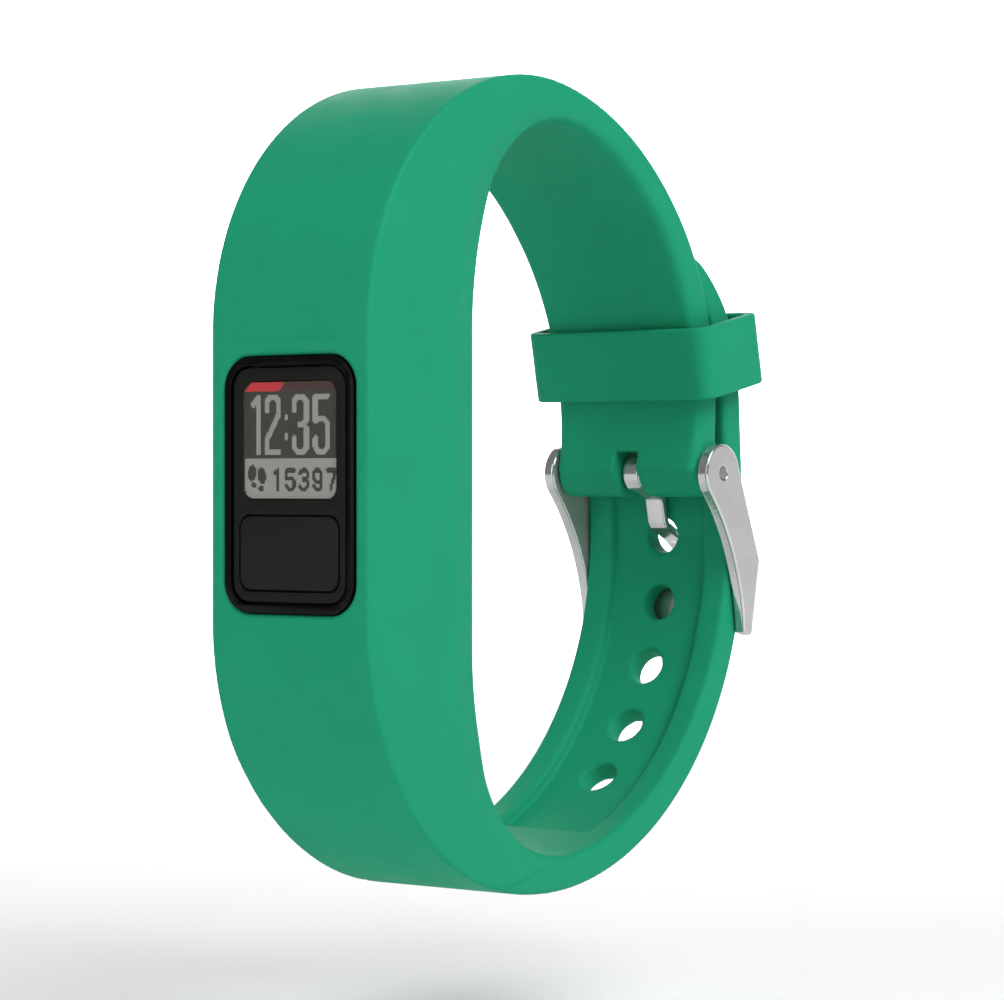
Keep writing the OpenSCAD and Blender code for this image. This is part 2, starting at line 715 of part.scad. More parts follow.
band();
keeper_loop();
buckle_frame();
buckle_tongue();
spring_bar_tube();
spring_bar_spring();
spring_bar_tip_left();
spring_bar_tip_right();
front_housing();
face_plate();
display_lens();
display_panel();
display_backing();
flex_cable();
button_cap();
button_seal();
dome_switch();
circuit_board();
processor_chip();
radio_chip();
motion_sensor();
timing_crystal();
chip_antenna();
coin_cell();
battery_contact_positive();
battery_contact_negative();
cover_gasket();
rear_cover();
cover_screws();
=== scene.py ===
"""Fitness tracker band: the looks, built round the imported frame. Shapes are worked out in
millimetres in the row frame and turned into metres when they become meshes."""
import json

import bmesh
import bpy
import numpy as np
from mathutils import Matrix, Vector


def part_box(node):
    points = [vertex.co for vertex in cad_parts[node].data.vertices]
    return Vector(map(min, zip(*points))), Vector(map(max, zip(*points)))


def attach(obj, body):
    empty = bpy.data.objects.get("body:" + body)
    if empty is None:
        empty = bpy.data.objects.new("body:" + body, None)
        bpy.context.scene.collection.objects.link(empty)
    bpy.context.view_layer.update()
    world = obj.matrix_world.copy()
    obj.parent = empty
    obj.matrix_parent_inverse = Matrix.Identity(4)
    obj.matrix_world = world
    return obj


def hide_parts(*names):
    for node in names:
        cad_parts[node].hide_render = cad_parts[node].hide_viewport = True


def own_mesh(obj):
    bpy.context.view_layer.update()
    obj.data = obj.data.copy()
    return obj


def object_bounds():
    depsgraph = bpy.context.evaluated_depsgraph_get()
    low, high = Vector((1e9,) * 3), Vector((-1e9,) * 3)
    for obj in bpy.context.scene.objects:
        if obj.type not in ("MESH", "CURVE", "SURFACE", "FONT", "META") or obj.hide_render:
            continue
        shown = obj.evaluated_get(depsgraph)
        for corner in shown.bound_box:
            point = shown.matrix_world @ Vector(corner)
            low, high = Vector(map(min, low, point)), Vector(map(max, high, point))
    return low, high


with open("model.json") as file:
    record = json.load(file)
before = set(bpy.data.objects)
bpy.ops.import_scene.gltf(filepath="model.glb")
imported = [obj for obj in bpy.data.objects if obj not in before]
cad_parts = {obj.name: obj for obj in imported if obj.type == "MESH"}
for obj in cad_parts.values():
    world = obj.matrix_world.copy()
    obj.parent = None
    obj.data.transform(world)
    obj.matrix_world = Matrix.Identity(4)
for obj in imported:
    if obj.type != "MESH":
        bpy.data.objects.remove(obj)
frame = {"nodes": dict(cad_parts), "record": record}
cad_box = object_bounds()

MM = 0.001
JOINTS = {joint["name"]: joint for joint in frame["record"]["behaviour"]["joints"]}


# ---------------------------------------------------------------- places from the frame

def node_box(name):
    """Lowest and highest corner of a CAD node, in millimetres."""
    low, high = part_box(name)
    return np.array(low) / MM, np.array(high) / MM


def joint_centre(name):
    """A hinge's centre in the side view: (Y, Z), in millimetres."""
    return np.array(JOINTS[name]["pos_m"][1:]) / MM


BAND_LOW, BAND_HIGH = node_box("band")
BAND_HALF = BAND_HIGH[0]
HEAD_FRONT = -BAND_LOW[1]
STRAP_C = joint_centre("keeper_slide")
PIN_C = joint_centre("buckle_swing")

# The side view's arcs, as (Y, Z) centres and radii
HEAD_T = 15.2
TOP_START, TOP_R = 13.0, 23.3
BOTTOM_START, BOTTOM_R = 11.75, 24.56
TOP_INNER_R, TOP_THROAT_R = 33.0, 10.7
BOTTOM_INNER_R, BOTTOM_THROAT_R = 31.4, 12.2
STRAP_R, TAIL_R, STRAP_T, STRAP_GAP = 30.4, 31.37, 3.0, 1.4
STRAP_HALF = 8.3
TOP_BLEND, BOTTOM_BLEND = 79.5, -102.7
LONG_TOP, LONG_BOTTOM = 157.63, 200.36
TAIL_TIP, TIP_L = 34.0, 14.0
PIN_A, ROLL_R = 9.4, 2.25
BAR_R, TONGUE_W, TONGUE_T = 0.9, 2.1, 0.75
FIRST_HOLE, HOLE_R, HOLE_PITCH = 0.4, 1.7, 6.66
HOLES_BELOW, HOLES_ABOVE = 5, 2


def polar(radius, degrees):
    """The point at this radius and angle, as (Y, Z)."""
    a = np.radians(degrees)
    return radius * np.array([np.cos(a), np.sin(a)])


def arc(centre, radius, start, end, step=1.5):
    """Points along an arc, no more than step degrees apart."""
    count = max(2, int(np.ceil(abs(end - start) / step)))
    return [centre + polar(radius, a) for a in np.linspace(start, end, count + 1)]


def arc_between(p, q, radius, step=1.5):
    """Arc from p to q, bulging to the right of p-q where radius is positive."""
    span = q - p
    d = np.hypot(*span)
    side = np.sign(radius) * np.sqrt(radius ** 2 - d * d / 4) / d
    centre = (p + q) / 2 + side * np.array([-span[1], span[0]])
    start = np.degrees(np.arctan2(*(p - centre)[::-1]))
    turn = 2 * np.degrees(np.arcsin(d / 2 / radius))
    return arc(centre, abs(radius), start, start + turn, step)


HEAD_BACK = HEAD_FRONT - HEAD_T
TOP_C = np.array([TOP_R - HEAD_FRONT, TOP_START])
BOTTOM_C = np.array([BOTTOM_R - HEAD_FRONT, -BOTTOM_START])
TAIL_C = BOTTOM_C - polar(TAIL_R - BOTTOM_R, BOTTOM_BLEND)
STRAP_IN_R, TAIL_IN_R = STRAP_R - STRAP_T, TAIL_R - STRAP_T
LAP_IN_R = STRAP_R + STRAP_GAP
LAP_R = LAP_IN_R + STRAP_T

top_reach = TOP_INNER_R - TOP_THROAT_R
top_throat_x = TOP_INNER_R - HEAD_BACK + top_reach * np.cos(np.radians(LONG_TOP))
THROAT_A = np.degrees(np.arccos((top_throat_x - STRAP_C[0]) / (STRAP_IN_R - TOP_THROAT_R)))
TOP_THROAT_C = STRAP_C + polar(STRAP_IN_R - TOP_THROAT_R, THROAT_A)
TOP_INNER_C = TOP_THROAT_C - polar(top_reach, LONG_TOP)
bottom_reach = BOTTOM_INNER_R - BOTTOM_THROAT_R
low_throat_x = BOTTOM_INNER_R - HEAD_BACK + bottom_reach * np.cos(np.radians(LONG_BOTTOM))
LOW_THROAT_A = -np.degrees(
    np.arccos((low_throat_x - TAIL_C[0]) / (TAIL_IN_R - BOTTOM_THROAT_R)))
BOTTOM_THROAT_C = TAIL_C + polar(TAIL_IN_R - BOTTOM_THROAT_R, LOW_THROAT_A)
BOTTOM_INNER_C = BOTTOM_THROAT_C - polar(bottom_reach, LONG_BOTTOM)

centre_step = TAIL_C - STRAP_C
RISE_A = (np.degrees(np.arccos((LAP_R - TAIL_R) / np.hypot(*centre_step)))
          + np.degrees(np.arctan2(centre_step[1], centre_step[0])))
RISE_N, RISE_T = polar(1, RISE_A), polar(1, RISE_A + 90)
RISE_START = TAIL_C + TAIL_R * RISE_N


# ---------------------------------------------------------------- distance fields

def polygon_distance(points, y, z):
    """Signed distance from every (y, z) to a closed polygon, negative inside."""
    p = np.array(points)
    q = np.roll(p, -1, axis=0)
    best = np.full(y.shape, 1e9)
    inside = np.zeros(y.shape, bool)
    for (ay, az), (by, bz) in zip(p, q):
        ey, ez = by - ay, bz - az
        length = ey * ey + ez * ez
        if length < 1e-12:
            continue
        t = np.clip(((y - ay) * ey + (z - az) * ez) / length, 0, 1)
        best = np.minimum(best, (y - ay - t * ey) ** 2 + (z - az - t * ez) ** 2)
        crosses = (az > z) != (bz > z)
        if crosses.any():
            at = ay + (z - az) / np.where(bz == az, 1, bz - az) * ey
            inside ^= crosses & (y < at)
    return np.where(inside, -1, 1) * np.sqrt(best)


def path_distance(points, y, z):
    """Distance from every (y, z) to an open path."""
    best = np.full(y.shape, 1e9)
    for (ay, az), (by, bz) in zip(points[:-1], points[1:]):
        ey, ez = by - ay, bz - az
        length = ey * ey + ez * ez
        if length < 1e-12:
            continue
        t = np.clip(((y - ay) * ey + (z - az) * ez) / length, 0, 1)
        best = np.minimum(best, (y - ay - t * ey) ** 2 + (z - az - t * ez) ** 2)
    return np.sqrt(best)


def rounded_both(a, b, radius):
    """Intersection of two fields, with its edge rounded."""
    outside = np.hypot(np.maximum(a + radius, 0), np.maximum(b + radius, 0))
    return np.minimum(np.maximum(a, b) + radius, 0) + outside - radius


def soft_max(a, b, blend):
    """Intersection of two fields, blended where they meet."""
    h = np.maximum(blend - np.abs(a - b), 0) / blend
    return np.maximum(a, b) + h * h * blend / 4


def soft_min(a, b, blend):
    """Union of two fields, blended where they meet."""
    return -soft_max(-a, -b, blend)


def slab(a, low, high):
    """The layer between low and high along a."""
    return np.abs(a - (low + high) / 2) - (high - low) / 2


def box_distance(half_a, half_b, radius, a, b):
    """A rounded rectangle about the origin of (a, b)."""
    qa = np.abs(a) - half_a + radius
    qb = np.abs(b) - half_b + radius
    outside = np.hypot(np.maximum(qa, 0), np.maximum(qb, 0))
    return outside + np.minimum(np.maximum(qa, qb), 0) - radius


def skin(field, low, step):
    """Points and faces of the field's zero surface: one point in each cell that it crosses."""
    inside = field < 0
    nx, ny, nz = (n - 1 for n in field.shape)

    def corner(array, i, j, k):
        return array[i:i + nx, j:j + ny, k:k + nz]

    corners = [(i, j, k) for i in (0, 1) for j in (0, 1) for k in (0, 1)]
    count = sum(corner(inside, *c).astype(np.int8) for c in corners)
    active = (count > 0) & (count < 8)
    cells = np.argwhere(active)
    number = np.full(active.shape, -1, np.int64)
    number[active] = np.arange(len(cells))
    total = np.zeros((len(cells), 3))
    crossings = np.zeros(len(cells))
    for c in corners:
        for axis in range(3):
            if c[axis]:
                continue
            d = tuple(v + (n == axis) for n, v in enumerate(c))
            fa = corner(field, *c)[active]
            fb = corner(field, *d)[active]
            cross = (fa < 0) != (fb < 0)
            t = np.where(cross, fa / np.where(fa == fb, 1, fa - fb), 0)
            point = np.array(c, float) + t[:, None] * (np.array(d) - np.array(c))
            total += point * cross[:, None]
            crossings += cross
    points = low + step * (cells + total / crossings[:, None])

    faces = []
    for axis in range(3):
        u, v = (axis + 1) % 3, (axis + 2) % 3
        first = [slice(None)] * 3
        second = [slice(None)] * 3
        first[axis], second[axis] = slice(0, -1), slice(1, None)
        a, b = inside[tuple(first)], inside[tuple(second)]
        edge = np.argwhere(a != b)
        edge = edge[(edge[:, u] > 0) & (edge[:, v] > 0)
                    & (edge[:, u] < field.shape[u] - 1) & (edge[:, v] < field.shape[v] - 1)]
        leaves = a[tuple(edge.T)]
        ring = []
        for du, dv in ((-1, -1), (0, -1), (0, 0), (-1, 0)):
            cell = edge.copy()
            cell[:, u] += du
            cell[:, v] += dv
            ring.append(number[tuple(cell.T)])
        quad = np.stack(ring, axis=1)
        quad[~leaves] = quad[~leaves][:, ::-1]
        faces.append(quad)
    return points, np.concatenate(faces)


def grid(low, high, step):
    """Three axes that cover a box with two cells to spare, and its low corner."""
    low = np.array(low, float) - 2 * step
    count = np.ceil((np.array(high, float) + 2 * step - low) / step).astype(int) + 1
    axes = [low[n] + step * np.arange(count[n]) for n in range(3)]
    return low, axes


def link_piece(name, mesh):
    piece = bpy.data.objects.new(name, mesh)
    bpy.context.scene.collection.objects.link(piece)
    return piece


def shape_piece(name, shape):
    """A mesh object from a bmesh, which is freed."""
    mesh = bpy.data.meshes.new(name)
    shape.to_mesh(mesh)
    shape.free()
    return link_piece(name, mesh)


def field_piece(name, field, low, step, place=None):
    """A mesh object from a field, in metres; place moves points in millimetres first."""
    points, faces = skin(field.astype(np.float32), low, step)
    if place is not None:
        points = place(points)
    mesh = bpy.data.meshes.new(name)
    mesh.from_pydata((points * MM).tolist(), [], faces.tolist())
    mesh.update()
    mesh.polygons.foreach_set("use_smooth", [True] * len(mesh.polygons))
    return link_piece(name, mesh)


def smooth_by_angle(piece, degrees):
    """Shade smooth, except across edges that turn by more than this."""
    shape = bmesh.new()
    shape.from_mesh(piece.data)
    for face in shape.faces:
        face.smooth = True
    limit = np.radians(degrees)
    for edge in shape.edges:
        edge.smooth = bool(len(edge.link_faces) == 2 and edge.calc_face_angle(0) < limit)
    shape.to_mesh(piece.data)
    shape.free()


# ---------------------------------------------------------------- materials

def new_material(name):
    """A fresh material with what the others start from: its nodes, links, shader and coordinates."""
    material = bpy.data.materials.new(name)
    material.use_nodes = True
    nodes, links = material.node_tree.nodes, material.node_tree.links
    shader = nodes["Principled BSDF"]
    coords = nodes.new("ShaderNodeTexCoord")
    return material, nodes, links, shader, coords


def noise(nodes, links, coords, scale, detail=3.0, stretch=None):
    """Noise over the object's own coordinates, which stretch scales first."""
    texture = nodes.new("ShaderNodeTexNoise")
    texture.inputs["Scale"].default_value = scale
    texture.inputs["Detail"].default_value = detail
    source = coords.outputs["Object"]
    if stretch:
        mapping = nodes.new("ShaderNodeMapping")
        mapping.inputs["Scale"].default_value = stretch
        links.new(source, mapping.inputs["Vector"])
        source = mapping.outputs["Vector"]
    links.new(source, texture.inputs["Vector"])
    return texture.outputs["Fac"]


def ramp(nodes, links, source, low, high, start=0.3, end=0.7):
    """A smooth change from one colour or number to another as source goes from start to end."""
    steps = nodes.new("ShaderNodeValToRGB")
    steps.color_ramp.elements[0].position = start
    steps.color_ramp.elements[1].position = end
    for element, value in zip(steps.color_ramp.elements, (low, high)):
        element.color = value if len(value) == 4 else (*value, 1)
    links.new(source, steps.inputs["Fac"])
    return steps.outputs["Color"]


def bump(nodes, links, shader, height, strength, distance):
    node = nodes.new("ShaderNodeBump")
    node.inputs["Strength"].default_value = strength
    node.inputs["Distance"].default_value = distance
    links.new(height, node.inputs["Height"])
    links.new(node.outputs["Normal"], shader.inputs["Normal"])


def grey(value):
    return (value, value, value)


CLOUD_SCALE, PATCH_SCALE, GRAIN_SCALE = 140, 420, 5200
BRUSH_SCALE, BRUSH_DEPTH = 2600, 0.000004


def moulded(name, colour, rough, variation=0.025, grain=0.00001, gloss=0.12):
    """Moulded rubber or plastic: slight mottling, uneven gloss and a fine matte grain."""
    material, nodes, links, shader, coords = new_material(name)
    colour = np.array(colour)
    cloud = noise(nodes, links, coords, CLOUD_SCALE)
    links.new(ramp(nodes, links, cloud, colour * (1 - variation), colour * (1 + variation)),
              shader.inputs["Base Color"])
    patch = noise(nodes, links, coords, PATCH_SCALE)
    links.new(ramp(nodes, links, patch, grey(rough - 0.05), grey(rough + 0.05)),
              shader.inputs["Roughness"])
    bump(nodes, links, shader, noise(nodes, links, coords, GRAIN_SCALE, 2), 0.35, grain)
    shader.inputs["Specular IOR Level"].default_value = gloss
    return material


def metal(name, colour, rough, brushed=(1, 1, 1), pure=1.0):
    """Metal with a fine grain, drawn out into lines along the direction of brushed's least number."""
    material, nodes, links, shader, coords = new_material(name)
    colour = np.array(colour)
    lines = noise(nodes, links, coords, BRUSH_SCALE, 4, brushed)
    cloud = noise(nodes, links, coords, 300)
    links.new(ramp(nodes, links, cloud, colour * 0.94, colour * 1.03), shader.inputs["Base Color"])
    links.new(ramp(nodes, links, lines, grey(rough * 0.75), grey(rough * 1.25)),
              shader.inputs["Roughness"])
    bump(nodes, links, shader, lines, 0.25, BRUSH_DEPTH)
    shader.inputs["Metallic"].default_value = pure
    return material


SILICONE = (0.0135, 0.305, 0.162)
materials = {
    "silicone": moulded("silicone_green", SILICONE, 0.55, gloss=0.06),
    "housing": moulded("housing_black", grey(0.002), 0.2, grain=0.000003),
    "face": moulded("face_charcoal", (0.0108, 0.0105, 0.0100), 0.42, gloss=0.08),
    "button": moulded("button_charcoal", (0.0138, 0.0137, 0.0126), 0.45, gloss=0.08),
    "display": moulded("display_ground", (0.034, 0.031, 0.025), 0.5, variation=0.03),
    "light_ink": moulded("display_light", (0.30, 0.29, 0.265), 0.55, variation=0.04),
    "dark_ink": moulded("display_dark", (0.032, 0.030, 0.027), 0.55),
    "red_ink": moulded("display_red", (0.56, 0.022, 0.034), 0.5),
    "maroon_ink": moulded("display_maroon", (0.055, 0.020, 0.018), 0.5),
    "seal": moulded("seal_rubber", grey(0.02), 0.7),
    "board": moulded("board_green", (0.012, 0.09, 0.035), 0.35),
    "chip": moulded("chip_black", grey(0.012), 0.5),
    "flex": moulded("flex_amber", (0.35, 0.15, 0.03), 0.4),
    "ceramic": moulded("antenna_ceramic", (0.7, 0.67, 0.58), 0.5),
    "polished": metal("steel_polished", grey(0.62), 0.14, pure=0.85),
    "satin": metal("steel_satin", grey(0.55), 0.36, (1, 1, 0.06), pure=0.45),
    "gold": metal("contact_gold", (0.75, 0.52, 0.2), 0.3),
}


def lens_material():
    """A clear, faintly hazy cover: nearly all of what lies behind it shows."""
    material, nodes, links, shader, coords = new_material("display_lens")
    shader.inputs["Base Color"].default_value = (0.5, 0.5, 0.48, 1)
    shader.inputs["Alpha"].default_value = 0.06
    haze = noise(nodes, links, coords, 700)
    links.new(ramp(nodes, links, haze, grey(0.25), grey(0.35)), shader.inputs["Roughness"])
    return material


materials["lens"] = lens_material()


def dress(piece, key):
    """Give the whole piece one of the materials."""
    piece.data.materials.clear()
    piece.data.materials.append(materials[key])
    return piece


# ---------------------------------------------------------------- the silicone band

EDGE_R = 0.28              # crease between the front and the sides
SIDE_FACET = 3.3           # widest that the facet round the wrist side's edge gets
FACET_LEAST = 0.4          # narrowest that it gets
FACET_SHARE = 0.36         # its width as a share of the band's thickness
FACET_SLOPE = 0.22         # how fast the sides draw in across that facet
INNER_R = 0.75             # rounding where the facet meets the wrist side
ROLL_BLEND = 1.6           # hollow where the strap runs into its rolled end
TAIL_EDGE_R = 0.5
TAPER_TOP, TAPER_LOW_START, TAPER_LOW_END = 24.0, 22.0, 33.0
CHANNEL_HALF, CHANNEL_D, CHANNEL_START = 5.25, 0.9, -70
CHANNEL_CORNER, CHANNEL_EDGE = 0.3, 0.7
TIP_CURVE_A, TIP_CURVE_R = 8.0, 0.6 * STRAP_R
ARM_END_R = 2.8
# The module's window, its pocket behind the lip and the opening towards the wrist
RIM_HALF_W, RIM_HALF_H, RIM_R = 7.2, 10.9, 2.7
CASE_R, BACK_R = 3.2, 3.2
LIP_T, LIP_EDGE, WINDOW_OVERLAP, POCKET_ROOM = 1.7, 0.35, 0.5, 0.08
BACK_SIDE, BACK_END, BACK_EDGE = 2.0, 3.0, 0.5
# The holes for the tongue, the spring bar and the tongue's curl
HOLE_EDGE = 0.35
HOLE_BEHIND = 4.0          # how far a hole starts behind the point that hole_axes gives
BAR_ROOM, TONGUE_CLEAR = 0.05, 0.1
NOTCH_SIDE, NOTCH_TOP, NOTCH_FRONT, NOTCH_REACH, NOTCH_EDGE = 0.25, 0.35, 0.1, 5.0, 0.2


def head_outer():
    """The outer side of the buckle strap and the head, from the buckle to the tail strap."""
    return (arc(STRAP_C, STRAP_R, -PIN_A, TOP_BLEND)
            + arc(TOP_C, TOP_R, TOP_BLEND, 180)
            + arc(BOTTOM_C, BOTTOM_R, 180, 360 + BOTTOM_BLEND))


def head_inner():
    """The wrist side of the head and the buckle strap, from the tail strap to the buckle."""
    return (arc(BOTTOM_THROAT_C, BOTTOM_THROAT_R, 360 + LOW_THROAT_A, LONG_BOTTOM)
            + arc(BOTTOM_INNER_C, BOTTOM_INNER_R, LONG_BOTTOM, 180)
            + arc(TOP_INNER_C, TOP_INNER_R, 180, LONG_TOP)
            + arc(TOP_THROAT_C, TOP_THROAT_R, LONG_TOP, THROAT_A)
            + arc(STRAP_C, STRAP_IN_R, THROAT_A, -PIN_A))


def outer_path():
    return head_outer() + arc(TAIL_C, TAIL_R, BOTTOM_BLEND, RISE_A)


def inner_path():
    return arc(TAIL_C, TAIL_IN_R, RISE_A, LOW_THROAT_A) + head_inner()


def tail_outline():
    """The tail strap: round the bottom, up over the buckle strap and to its tip."""
    outer_end = STRAP_C + polar(LAP_R, TAIL_TIP - TIP_CURVE_A)
    tip = STRAP_C + polar(LAP_IN_R + STRAP_T / 2, TAIL_TIP)
    root_overlap = 4
    return (arc(TAIL_C, TAIL_R, BOTTOM_BLEND, RISE_A)
            + arc(STRAP_C, LAP_R, RISE_A, TAIL_TIP - TIP_CURVE_A)
            + arc_between(outer_end, tip, TIP_CURVE_R)
            + arc(STRAP_C, LAP_IN_R, TAIL_TIP, RISE_A)
            + arc(TAIL_C, TAIL_IN_R, RISE_A, LOW_THROAT_A - root_overlap))


def channel_outline():
    """What the channel takes from the tail's wrist side, and 1 mm of the air before it."""
    end = TAIL_TIP - TIP_CURVE_A
    return (arc(TAIL_C, TAIL_IN_R + CHANNEL_D, CHANNEL_START, RISE_A)
            + arc(STRAP_C, LAP_IN_R + CHANNEL_D, RISE_A, end)
            + arc(STRAP_C, LAP_IN_R - 1, end, RISE_A)
            + arc(TAIL_C, TAIL_IN_R - 1, RISE_A, CHANNEL_START))


def hole_axes():
    """Each adjustment hole as a point on its axis and the axis's direction, in the side view."""
    middle_r = TAIL_R - STRAP_T / 2
    pitch_a = np.degrees(HOLE_PITCH / middle_r)
    for i in range(HOLES_BELOW):
        yield TAIL_C, polar(1, FIRST_HOLE - i * pitch_a)
    start = np.radians(RISE_A - FIRST_HOLE) * middle_r
    for i in range(1, HOLES_ABOVE + 1):
        yield RISE_START + (i * HOLE_PITCH - start) * RISE_T, RISE_N


def side_half(y, z):
    """Half the band's width, which narrows from the head to both straps."""
    buckle_side = np.interp(z, [PIN_C[1] + ARM_END_R, TAPER_TOP], [STRAP_HALF, BAND_HALF])
    tail_side = np.interp(z, [-TAPER_LOW_END, -TAPER_LOW_START], [STRAP_HALF, BAND_HALF])
    return np.where((y > 0) & (z > PIN_C[1] - 2 * ROLL_R), buckle_side, tail_side)


def tail_half(y, z):
    """Half the tail's width, which narrows to an oval tip where it lies on the buckle strap."""
    angle = np.degrees(np.arctan2(z - STRAP_C[1], y - STRAP_C[0]))
    along = np.radians(TAIL_TIP - angle) * (LAP_R - STRAP_T / 2)
    short = np.clip(1 - along / TIP_L, 0, 1)
    return np.where((y > 0) & (angle > 0), STRAP_HALF * np.sqrt(1 - short ** 2), STRAP_HALF)


def cut_module_seat(field, x, y, z):
    """The window in the front, the case's pocket behind its lip and the opening to the wrist."""
    case_high = node_box("rear_cover")[1]
    case_front, case_back = LIP_T - HEAD_FRONT, case_high[1]
    window = box_distance(RIM_HALF_W + POCKET_ROOM, RIM_HALF_H + POCKET_ROOM,
                          RIM_R + POCKET_ROOM, x, z)
    case = box_distance(case_high[0] + POCKET_ROOM, case_high[2] + POCKET_ROOM,
                        CASE_R + POCKET_ROOM, x, z)
    back = box_distance(case_high[0] - BACK_SIDE, case_high[2] - BACK_END, BACK_R, x, z)
    depth = slab(y, case_front, case_back) - POCKET_ROOM
    field = soft_max(field, -np.maximum(window, y - case_front - WINDOW_OVERLAP), LIP_EDGE)
    field = np.maximum(field, -np.maximum(case, depth))
    return soft_max(field, -np.maximum(np.maximum(back, case_front - y), y), BACK_EDGE)


def cut_holes(field, x, y, z):
    """The adjustment holes."""
    for centre, direction in hole_axes():
        side = (z - centre[1]) * direction[0] - (y - centre[0]) * direction[1]
        ahead = (y - centre[0]) * direction[0] + (z - centre[1]) * direction[1]
        bore = np.hypot(side, x) - HOLE_R
        field = soft_max(field, -np.maximum(bore, -ahead - HOLE_BEHIND), HOLE_EDGE)
    return field


def cut_bar_seat(field, x, y, z):
    """The spring bar's bore and the notch in which the tongue's curl turns."""
    around = np.hypot(y - PIN_C[0], z - PIN_C[1])
    field = np.maximum(field, BAR_R + BAR_ROOM - around)
    notch = np.maximum(np.abs(x) - (TONGUE_W / 2 + NOTCH_SIDE), around - NOTCH_REACH)
    notch_top = PIN_C[1] + BAR_R + TONGUE_CLEAR + TONGUE_T + NOTCH_TOP
    notch = np.maximum(notch, z - notch_top)
    notch = np.maximum(notch, y - PIN_C[0] - ROLL_R - NOTCH_FRONT)
    return soft_max(field, -notch, NOTCH_EDGE)


def build_band(step=0.22):
    low, (xs, ys, zs) = grid(BAND_LOW, BAND_HIGH, step)
    y, z = np.meshgrid(ys, zs, indexing="ij")
    x = xs[:, None, None]

    head = polygon_distance(head_outer() + head_inner(), y, z)
    head = soft_min(head, np.hypot(y - PIN_C[0], z - PIN_C[1]) - ROLL_R, ROLL_BLEND)
    inward = path_distance(inner_path(), y, z)
    thickness = path_distance(outer_path(), y, z) + inward
    facet = np.clip(FACET_SHARE * thickness, FACET_LEAST, SIDE_FACET)
    half = side_half(y, z) - FACET_SLOPE * np.maximum(facet - inward, 0)
    # The edge is crisp on the outer half of the thickness and grows soft towards the wrist
    edge_r = EDGE_R + (INNER_R - EDGE_R) * np.clip(1 - 2 * inward / thickness, 0, 1)
    body = rounded_both(head, np.abs(x) - half, edge_r)

    tail = polygon_distance(tail_outline(), y, z)
    tail = rounded_both(tail, np.abs(x) - tail_half(y, z), TAIL_EDGE_R)
    channel = soft_max(polygon_distance(channel_outline(), y, z), np.abs(x) - CHANNEL_HALF,
                       CHANNEL_CORNER)
    field = np.minimum(body, soft_max(tail, -channel, CHANNEL_EDGE))

    y, z = y[None], z[None]
    field = cut_module_seat(field, x, y, z)
    field = cut_holes(field, x, y, z)
    field = cut_bar_seat(field, x, y, z)

    piece = dress(field_piece("silicone_band", field, low, step), "silicone")
    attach(piece, "band")
    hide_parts("band")


# ---------------------------------------------------------------- the keeper

KEEPER_A, KEEPER_H, KEEPER_T, KEEPER_SLACK = 11.7, 6.8, 1.0, 0.4
KEEPER_GRIP = 0.12         # how far its corners reach inside the strap's wrist side
KEEPER_OUTER_R, KEEPER_INNER_R, KEEPER_EDGE_R = 1.7, 0.8, 0.22


def build_keeper(step=0.12):
    """Local axes: x across, u out from the strap's centre, v along the strap."""
    half_w = node_box("keeper_loop")[1][0]
    inner_half = half_w - KEEPER_T
    u0 = np.sqrt((STRAP_IN_R - KEEPER_GRIP) ** 2 - (KEEPER_H / 2) ** 2)
    u1 = LAP_R + KEEPER_SLACK
    middle, half_d = (u0 + u1) / 2, (u1 - u0) / 2
    low, (xs, us, vs) = grid((-half_w, u0 - KEEPER_T, -KEEPER_H / 2),
                             (half_w, u1 + KEEPER_T, KEEPER_H / 2), step)
    x, u = np.meshgrid(xs, us - middle, indexing="ij")
    ring = np.maximum(box_distance(half_w, half_d + KEEPER_T, KEEPER_OUTER_R, x, u),
                      -box_distance(inner_half, half_d, KEEPER_INNER_R, x, u))
    field = rounded_both(ring[:, :, None], np.abs(vs)[None, None] - KEEPER_H / 2, KEEPER_EDGE_R)

    out, along = polar(1, KEEPER_A), polar(1, KEEPER_A + 90)

    def place(points):
        side = STRAP_C + points[:, 1:2] * out + points[:, 2:3] * along
        return np.column_stack([points[:, 0], side])

    piece = dress(field_piece("silicone_keeper", field, low, step, place), "silicone")
    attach(piece, "keeper")
    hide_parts("keeper_loop")


# ---------------------------------------------------------------- the buckle

ARM_T, ARM_IN, ARM_FOOT, ARM_WAIST_R = 1.2, 8.45, 1.2, 22.0
ARM_EDGE_R, CROSS_EDGE_R, CORNER_R, CROSS_FILLET = 0.24, 0.22, 1.0, 0.5
CROSS_H, CROSS_T, CROSS_GAP, CROSS_A, CROSS_SINK = 6.2, 0.8, 0.25, -11.0, 0.4
ARM_BACK_A, ARM_FRONT_A = 12, 217
BAR_TIP_R = BAR_R - 0.3
TIP_HOLE_EDGE = 0.12
CROSS_N, CROSS_UP = polar(1, CROSS_A), polar(1, CROSS_A + 90)
CROSS_IN = TAIL_C + (TAIL_R + CROSS_GAP) * CROSS_N
CROSS_TOP_IN = CROSS_IN + CROSS_H / 2 * CROSS_UP
CROSS_LOW_IN = CROSS_IN - CROSS_H / 2 * CROSS_UP
CROSS_TOP_OUT = CROSS_TOP_IN + CROSS_T * CROSS_N
CROSS_LOW_OUT = CROSS_LOW_IN + CROSS_T * CROSS_N


def arm_outline():
    """One arm from the side: its round end, the curved inner edge, the foot and the cross bar."""
    front_top = PIN_C + polar(ARM_END_R, ARM_FRONT_A)
    foot = CROSS_LOW_IN - ARM_FOOT * CROSS_N
    return (arc(PIN_C, ARM_END_R, ARM_BACK_A, ARM_FRONT_A)
            + arc_between(front_top, foot, -ARM_WAIST_R)
            + arc_between(foot, CROSS_LOW_OUT + ARM_FOOT / 2 * CROSS_UP, ARM_FOOT)
            + [CROSS_TOP_OUT])


